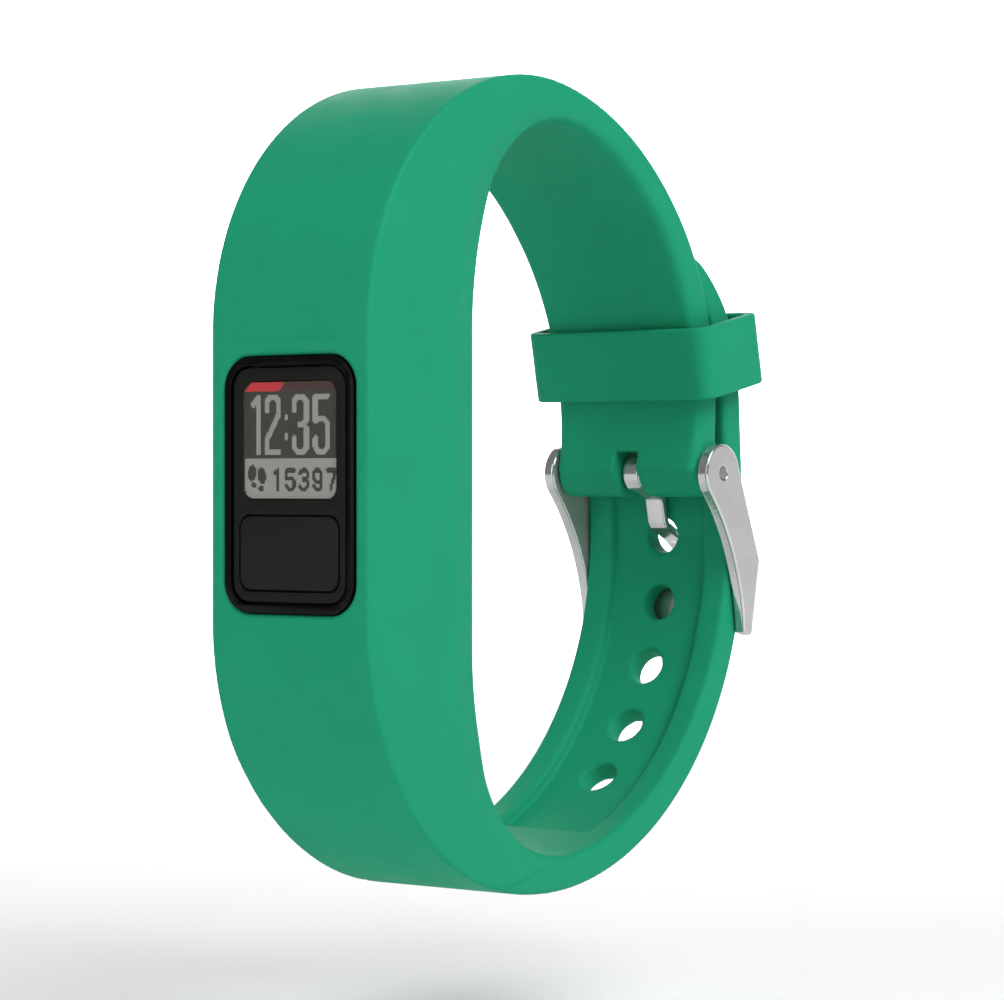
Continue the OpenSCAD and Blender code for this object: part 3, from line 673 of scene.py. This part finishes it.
def build_buckle(step=0.085):
    low, (xs, ys, zs) = grid(*node_box("buckle_frame"), step)
    y, z = np.meshgrid(ys, zs, indexing="ij")
    arm = polygon_distance(arm_outline(), y, z)
    cross = polygon_distance([CROSS_TOP_IN, CROSS_TOP_OUT, CROSS_LOW_OUT, CROSS_LOW_IN], y, z)
    ax = np.abs(xs)[:, None, None]
    arms = rounded_both(arm[None], slab(ax, ARM_IN, ARM_IN + ARM_T), ARM_EDGE_R)
    bar = rounded_both(cross[None], ax - ARM_IN - CROSS_SINK, CROSS_EDGE_R)
    field = soft_min(arms, bar, CROSS_FILLET)
    # Round the two outer corners between the arms and the cross bar's face
    beyond = (y - CROSS_IN[0]) * CROSS_N[0] + (z - CROSS_IN[1]) * CROSS_N[1] - CROSS_T
    field = np.maximum(field, rounded_both(beyond[None], ax - ARM_IN - ARM_T, CORNER_R))
    hole = np.hypot(y - PIN_C[0], z - PIN_C[1]) - BAR_TIP_R - BAR_ROOM
    field = soft_max(field, -hole[None], TIP_HOLE_EDGE)
    piece = dress(field_piece("steel_buckle", field, low, step), "satin")
    polish_edges(piece)
    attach(piece, "buckle")
    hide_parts("buckle_frame")


def polish_edges(piece):
    """The broad flat sides keep their finish; what turns away from X is polished."""
    piece.data.materials.append(materials["polished"])
    count = len(piece.data.polygons)
    normals = np.zeros(count * 3)
    piece.data.polygons.foreach_get("normal", normals)
    turned = np.abs(normals.reshape(-1, 3)[:, 0]) < 0.98
    piece.data.polygons.foreach_set("material_index", turned.astype(np.int32))


COIL_R = BAR_R + TONGUE_CLEAR + TONGUE_T
COIL_EDGE_R, STRIP_EDGE_R, CURL_FILLET = 0.34, 0.2, 0.4
SHANK_GAP, SHANK_LIFT, SHANK_BOW_R, BEND_BOW_R = 0.25, 0.3, 25, 20
SHANK_TOP_A, BEND_A, LEAVES_A = 7.6, 2.8, -0.55     # from the first hole's angle
CURL_END_A, TIP_A = -62, -45.2                      # round the pin
BEND_STEP = np.array([0.3, -0.45])


def strip_outline(route, thickness):
    """A strip of even thickness along a route."""
    route = np.array(route)
    ends = np.arange(len(route))
    d = route[np.minimum(ends + 1, len(route) - 1)] - route[np.maximum(ends - 1, 0)]
    d /= np.hypot(d[:, 0], d[:, 1])[:, None]
    n = np.column_stack([-d[:, 1], d[:, 0]]) * thickness / 2
    return list(route + n) + list((route - n)[::-1])


def tongue_route():
    """From the curl down the channel, then through the first hole to the tip."""
    shank_r = TAIL_IN_R + CHANNEL_D - TONGUE_T / 2 - SHANK_GAP
    shank_top = TAIL_C + polar(shank_r - SHANK_LIFT, FIRST_HOLE + SHANK_TOP_A)
    bend = TAIL_C + polar(shank_r, FIRST_HOLE + BEND_A)
    leaves = TAIL_C + polar(TAIL_R, FIRST_HOLE + LEAVES_A)
    tip = PIN_C + polar(np.hypot(*(CROSS_TOP_IN - PIN_C)) - 2 * CROSS_GAP, TIP_A)
    return ([PIN_C + polar(COIL_R - TONGUE_T / 2, CURL_END_A)]
            + arc_between(shank_top, bend, -SHANK_BOW_R, 0.5)
            + arc_between(bend + BEND_STEP, leaves, -BEND_BOW_R, 0.5)
            + [tip])


def build_tongue(step=0.07):
    low, (xs, ys, zs) = grid(*node_box("buckle_tongue"), step)
    y, z = np.meshgrid(ys, zs, indexing="ij")
    around = np.hypot(y - PIN_C[0], z - PIN_C[1])
    coil = np.maximum(around - COIL_R, BAR_R + TONGUE_CLEAR - around)
    strip = polygon_distance(strip_outline(tongue_route(), TONGUE_T), y, z)
    strip = np.maximum(strip, BAR_R + TONGUE_CLEAR - around)
    ax = np.abs(xs)[:, None, None]
    field = soft_min(rounded_both(coil[None], ax - TONGUE_W / 2, COIL_EDGE_R),
                     rounded_both(strip[None], ax - TONGUE_W / 2, STRIP_EDGE_R), CURL_FILLET)
    piece = dress(field_piece("steel_tongue", field, low, step), "polished")
    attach(piece, "tongue")
    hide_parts("buckle_tongue")


def build_spring():
    """The spring bar's spring, cut at its middle into two halves, each closed where it was cut."""
    for side, sign in (("left", -1), ("right", 1)):
        shape = bmesh.new()
        shape.from_mesh(frame["nodes"]["spring_bar_spring"].data)
        bmesh.ops.remove_doubles(shape, verts=shape.verts, dist=0.0005 * MM)
        cut = bmesh.ops.bisect_plane(
            shape, geom=shape.verts[:] + shape.edges[:] + shape.faces[:], plane_co=(0, 0, 0),
            plane_no=(sign, 0, 0), clear_inner=True)
        rim = [e for e in cut["geom_cut"] if isinstance(e, bmesh.types.BMEdge)]
        bmesh.ops.edgeloop_fill(shape, edges=rim)
        piece = shape_piece("steel_spring_" + side, shape)
        smooth_by_angle(piece, 75)
        dress(piece, "polished")
        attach(piece, "band")
        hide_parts("spring_bar_spring")
        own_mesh(piece)


# ---------------------------------------------------------------- the tracker module

def softened_copy(node, name, body, key, width):
    """A copy of a CAD node with its sharp edges rounded over."""
    shape = bmesh.new()
    shape.from_mesh(frame["nodes"][node].data)
    bmesh.ops.remove_doubles(shape, verts=shape.verts, dist=0.002 * MM)
    bmesh.ops.dissolve_limit(shape, angle_limit=np.radians(1), verts=shape.verts,
                             edges=shape.edges, delimit=set())
    piece = shape_piece(name, shape)
    rounding = piece.modifiers.new("edges", "BEVEL")
    rounding.width = width * MM
    rounding.segments = 3
    rounding.limit_method = "ANGLE"
    rounding.angle_limit = np.radians(35)
    graph = bpy.context.evaluated_depsgraph_get()
    done = bpy.data.meshes.new_from_object(piece.evaluated_get(graph))
    piece.modifiers.clear()
    piece.data = done
    smooth_by_angle(piece, 35)
    dress(piece, key)
    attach(piece, body)
    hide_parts(node)


def build_module():
    softened_copy("front_housing", "module_housing", "band", "housing", 0.3)
    softened_copy("face_plate", "module_face", "band", "face", 0.12)
    softened_copy("button_cap", "module_button", "button", "button", 0.2)


# ---------------------------------------------------------------- the display

# The display is a grid of dots. A mark is a set of pen strokes, and every dot near a stroke is on.
DOTS = 64
DISPLAY_CORNER_R = 1.0
INK_SINK, INK_RISE = 0.012, 0.02      # the marks' faces, either side of the lens's back


def digit_strokes(char, wide, tall):
    """Pen strokes of a narrow digit, as paths in a box of wide x tall dots, from its top left."""
    w, h, c = wide, tall, 0.3 * wide
    mid = 0.5 * h
    hook = 0.25 * h if h > 20 else c      # how far the open ends of 2, 3 and 5 reach
    shapes = {
        "1": [[(0, 0.13 * h), (0.4 * w, 0.1 * h), (w, 0), (w, h)]],
        "2": [[(0, hook), (0, c), (c, 0), (w - c, 0), (w, c), (w, 0.32 * h),
               (0.06 * w, 0.75 * h), (0, h), (w, h)]],
        "3": [[(0, hook), (0, c), (c, 0), (w - c, 0), (w, c), (w, mid - 0.9 * c),
               (w - 0.8 * c, mid - 0.1 * c), (0.42 * w, mid - 0.1 * c)],
              [(w - 0.8 * c, mid - 0.1 * c), (w, mid + 0.9 * c), (w, h - c), (w - c, h),
               (c, h), (0, h - c), (0, h - hook)]],
        "5": [[(w, 0), (0, 0), (0, 0.45 * h), (c, 0.4 * h), (w - c, 0.4 * h),
               (w, 0.4 * h + c), (w, h - c), (w - c, h), (c, h), (0, h - c), (0, h - hook)]],
        "7": [[(0, 0), (w, 0), (w, 0.15 * h), (0.45 * w, h)]],
        "9": [[(w, mid), (w - c, mid + 0.7 * c), (c, mid + 0.7 * c), (0, mid - 0.3 * c), (0, c),
               (c, 0), (w - c, 0), (w, c), (w, h - c), (w - c, h), (c, h), (0, h - c)]],
    }
    return shapes[char]


class DotCanvas:
    """The display's dots, each with the name of its ink or nothing; rows count from the top."""

    def __init__(self):
        self.cols, self.rows = np.meshgrid(np.arange(DOTS) + 0.5, np.arange(DOTS) + 0.5)
        self.inks = np.full((DOTS, DOTS), "", dtype=object)

    def fill(self, mask, ink):
        self.inks[mask] = ink

    def write(self, char, ink, col, row, wide, tall, pen):
        """The digit's outer box starts at col, row; strokes run half a pen inside it."""
        corner = np.array([col + pen / 2, row + pen / 2])
        for path in digit_strokes(char, wide - pen, tall - pen):
            places = [corner + point for point in path]
            self.fill(path_distance(places, self.cols, self.rows) < pen / 2, ink)

    def oval(self, col, row, half_w, half_h, ink, lean):
        down = self.rows - row
        across = self.cols - col - lean * down
        self.fill((across / half_w) ** 2 + (down / half_h) ** 2 < 1, ink)


def draw_display(corner):
    """The marks on the display, whose round corners have a radius of this many dots."""
    canvas = DotCanvas()
    cols, rows = canvas.cols, canvas.rows

    # A strip along the top: red up to a slanted end, then a dim stretch
    strip = (rows > 0.4) & (rows < 5)
    canvas.fill(strip & (cols < 27.8 - 0.75 * rows) & (cols > 3.6 - 0.7 * rows), "red_ink")
    canvas.fill(strip & (cols > 29 - 0.75 * rows), "maroon_ink")

    for char, col, wide in (("1", 4, 7), ("2", 13.7, 11.6), ("3", 33, 11.6), ("5", 47.5, 11.6)):
        canvas.write(char, "light_ink", col, 6.5, wide, 33.8, 3.3)
    for row in (17.6, 28.2):
        canvas.fill((np.abs(cols - 29.2) < 1.3) & (rows > row) & (rows < row + 3.4), "light_ink")

    # The light bar along the bottom, with dark figures and a pair of footprints
    canvas.fill(rows > 42, "light_ink")
    for char, col, wide in (("1", 19.7, 4.6), ("5", 28, 7.6), ("3", 37.3, 7.7),
                            ("9", 46.9, 7.5), ("7", 56, 7.6)):
        canvas.write(char, "dark_ink", col, 47.4, wide, 12.6, 2.2)
    for col, row, side in ((5, 50, -1), (11.8, 51.6, 1)):
        canvas.oval(col, row, 2.9, 4.6, "dark_ink", 0.1 * side)
        canvas.oval(col + 0.4 - 0.8 * side, row + 6.8, 1.9, 1.7, "dark_ink", -0.3 * side)

    # Dots outside the display's round corners stay off
    reach = box_distance(DOTS / 2, DOTS / 2, corner, cols - DOTS / 2, rows - DOTS / 2)
    canvas.fill(reach > 0, "")
    return canvas.inks


def build_display():
    """One piece for each ink, with one thin block for each run of dots in a row."""
    low, high = node_box("display_lens")
    dot_x, dot_z = (high[0] - low[0]) / DOTS, (high[2] - low[2]) / DOTS
    sunk, proud = high[1] - INK_SINK, high[1] + INK_RISE
    inks = draw_display(DISPLAY_CORNER_R / dot_x)
    for ink in ("light_ink", "dark_ink", "red_ink", "maroon_ink"):
        shape = bmesh.new()
        for row in range(DOTS):
            on = np.concatenate([[False], inks[row] == ink, [False]])
            starts = np.flatnonzero(on[1:] & ~on[:-1])
            ends = np.flatnonzero(~on[1:] & on[:-1])
            top = high[2] - row * dot_z
            for start, end in zip(starts, ends):
                x0, x1 = low[0] + start * dot_x, low[0] + end * dot_x
                add_block(shape, (x0, sunk, top - dot_z), (x1, proud, top))
        piece = dress(shape_piece("display_" + ink, shape), ink)
        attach(piece, "band")


def add_block(shape, low, high):
    """A closed block from one corner to the other, in millimetres."""
    made = bmesh.ops.create_cube(shape, size=1.0)
    centre = (np.array(low) + np.array(high)) / 2
    extent = np.array(high) - np.array(low)
    for vert in made["verts"]:
        vert.co = Vector((centre + np.array(vert.co) * extent) * MM)


CAD_FINISH = {
    "display_lens": "lens", "display_panel": "display", "display_backing": "satin",
    "flex_cable": "flex", "button_seal": "seal", "dome_switch": "gold", "circuit_board": "board",
    "processor_chip": "chip", "radio_chip": "chip", "motion_sensor": "chip",
    "timing_crystal": "satin", "chip_antenna": "ceramic", "coin_cell": "satin",
    "battery_contact_positive": "gold", "battery_contact_negative": "gold",
    "cover_gasket": "seal", "rear_cover": "face", "cover_screws": "satin",
    "spring_bar_tube": "satin",
    "spring_bar_tip_left": "polished", "spring_bar_tip_right": "polished",
}


def dress_cad_nodes():
    """Give every CAD node that stays in the picture its material."""
    for node, key in CAD_FINISH.items():
        piece = frame["nodes"][node]
        if not piece.material_slots:
            piece.data.materials.append(materials[key])
        for place in piece.material_slots:
            place.material = materials[key]


# ---------------------------------------------------------------- floor, light, camera

CAMERA_AZIMUTH = 37.5
CAMERA_DISTANCE = 0.3098
CAMERA_LENS = 121.3
CAMERA_SHIFT = -15 / 1004
FLOOR_DROP = 14 * MM
FLOOR_NEAR, FLOOR_FAR, FLOOR_HALF = -2.0, 1.6, 3.0
SWEEP_R, WALL_TOP = 0.5, 2.2


def build_stage():
    """A pale floor that sweeps up behind the object."""
    floor_z = cad_box[0][2] - FLOOR_DROP
    profile = [(FLOOR_NEAR, 0.0), (FLOOR_FAR, 0.0)]
    for a in np.linspace(-90, 0, 13)[1:]:
        profile.append(np.array([FLOOR_FAR, SWEEP_R]) + polar(SWEEP_R, a))
    profile.append((FLOOR_FAR + SWEEP_R, WALL_TOP))
    verts = [(x, y, floor_z + z) for y, z in profile for x in (-FLOOR_HALF, FLOOR_HALF)]
    faces = [(2 * n, 2 * n + 1, 2 * n + 3, 2 * n + 2) for n in range(len(profile) - 1)]
    mesh = bpy.data.meshes.new("pale_floor")
    mesh.from_pydata(verts, [], faces)
    mesh.polygons.foreach_set("use_smooth", [True] * len(mesh.polygons))
    floor = link_piece("pale_floor", mesh)
    floor.rotation_euler[2] = np.radians(CAMERA_AZIMUTH)
    material, nodes, links, shader, coords = new_material("pale_floor")
    links.new(ramp(nodes, links, noise(nodes, links, coords, 3), grey(0.90), grey(0.93)),
              shader.inputs["Base Color"])
    shader.inputs["Roughness"].default_value = 0.9
    shader.inputs["Specular IOR Level"].default_value = 0.1
    floor.data.materials.append(material)


def soft_light(name, place, target, size, power):
    """A rectangular lamp that faces target."""
    data = bpy.data.lights.new(name, "AREA")
    data.shape = "RECTANGLE"
    data.size, data.size_y = size
    data.energy = power
    light = bpy.data.objects.new(name, data)
    light.location = place
    light.rotation_euler = (Vector(target) - Vector(place)).to_track_quat("-Z", "Y").to_euler()
    bpy.context.scene.collection.objects.link(light)


def build_light_and_camera():
    scene = bpy.context.scene
    turn = Matrix.Rotation(np.radians(CAMERA_AZIMUTH), 3, "Z")

    def seen(right, towards, up):
        """A place given from the camera's side: to its right, towards it, and up."""
        return turn @ Vector((right, -towards, up))

    world = bpy.data.worlds.new("studio")
    world.use_nodes = True
    world.node_tree.nodes["Background"].inputs["Color"].default_value = (1, 1, 1, 1)
    world.node_tree.nodes["Background"].inputs["Strength"].default_value = 0.2
    scene.world = world
    soft_light("key", seen(0.45, 0.55, 0.70), (0, 0, 0), (0.7, 0.7), 8.8)
    soft_light("fill", seen(-0.6, 0.6, 0.15), (0, 0, 0), (0.6, 0.8), 2.6)
    soft_light("backdrop_wash", seen(0.0, -0.9, 1.1), seen(0, -2.0, 0.3), (2.5, 1.0), 90.0)

    data = bpy.data.cameras.new("photo_view")
    data.lens = CAMERA_LENS
    data.sensor_width = 36
    data.shift_y = CAMERA_SHIFT
    data.clip_start, data.clip_end = 0.01, 20
    camera = bpy.data.objects.new("photo_view", data)
    camera.location = seen(0, CAMERA_DISTANCE, 0)
    camera.rotation_euler = (np.radians(90), 0, np.radians(CAMERA_AZIMUTH))
    scene.collection.objects.link(camera)
    scene.camera = camera
    scene.view_settings.view_transform = "Standard"


build_stage()
build_light_and_camera()
build_band()
build_keeper()
build_buckle()
build_tongue()
build_spring()
build_module()
build_display()
dress_cad_nodes()
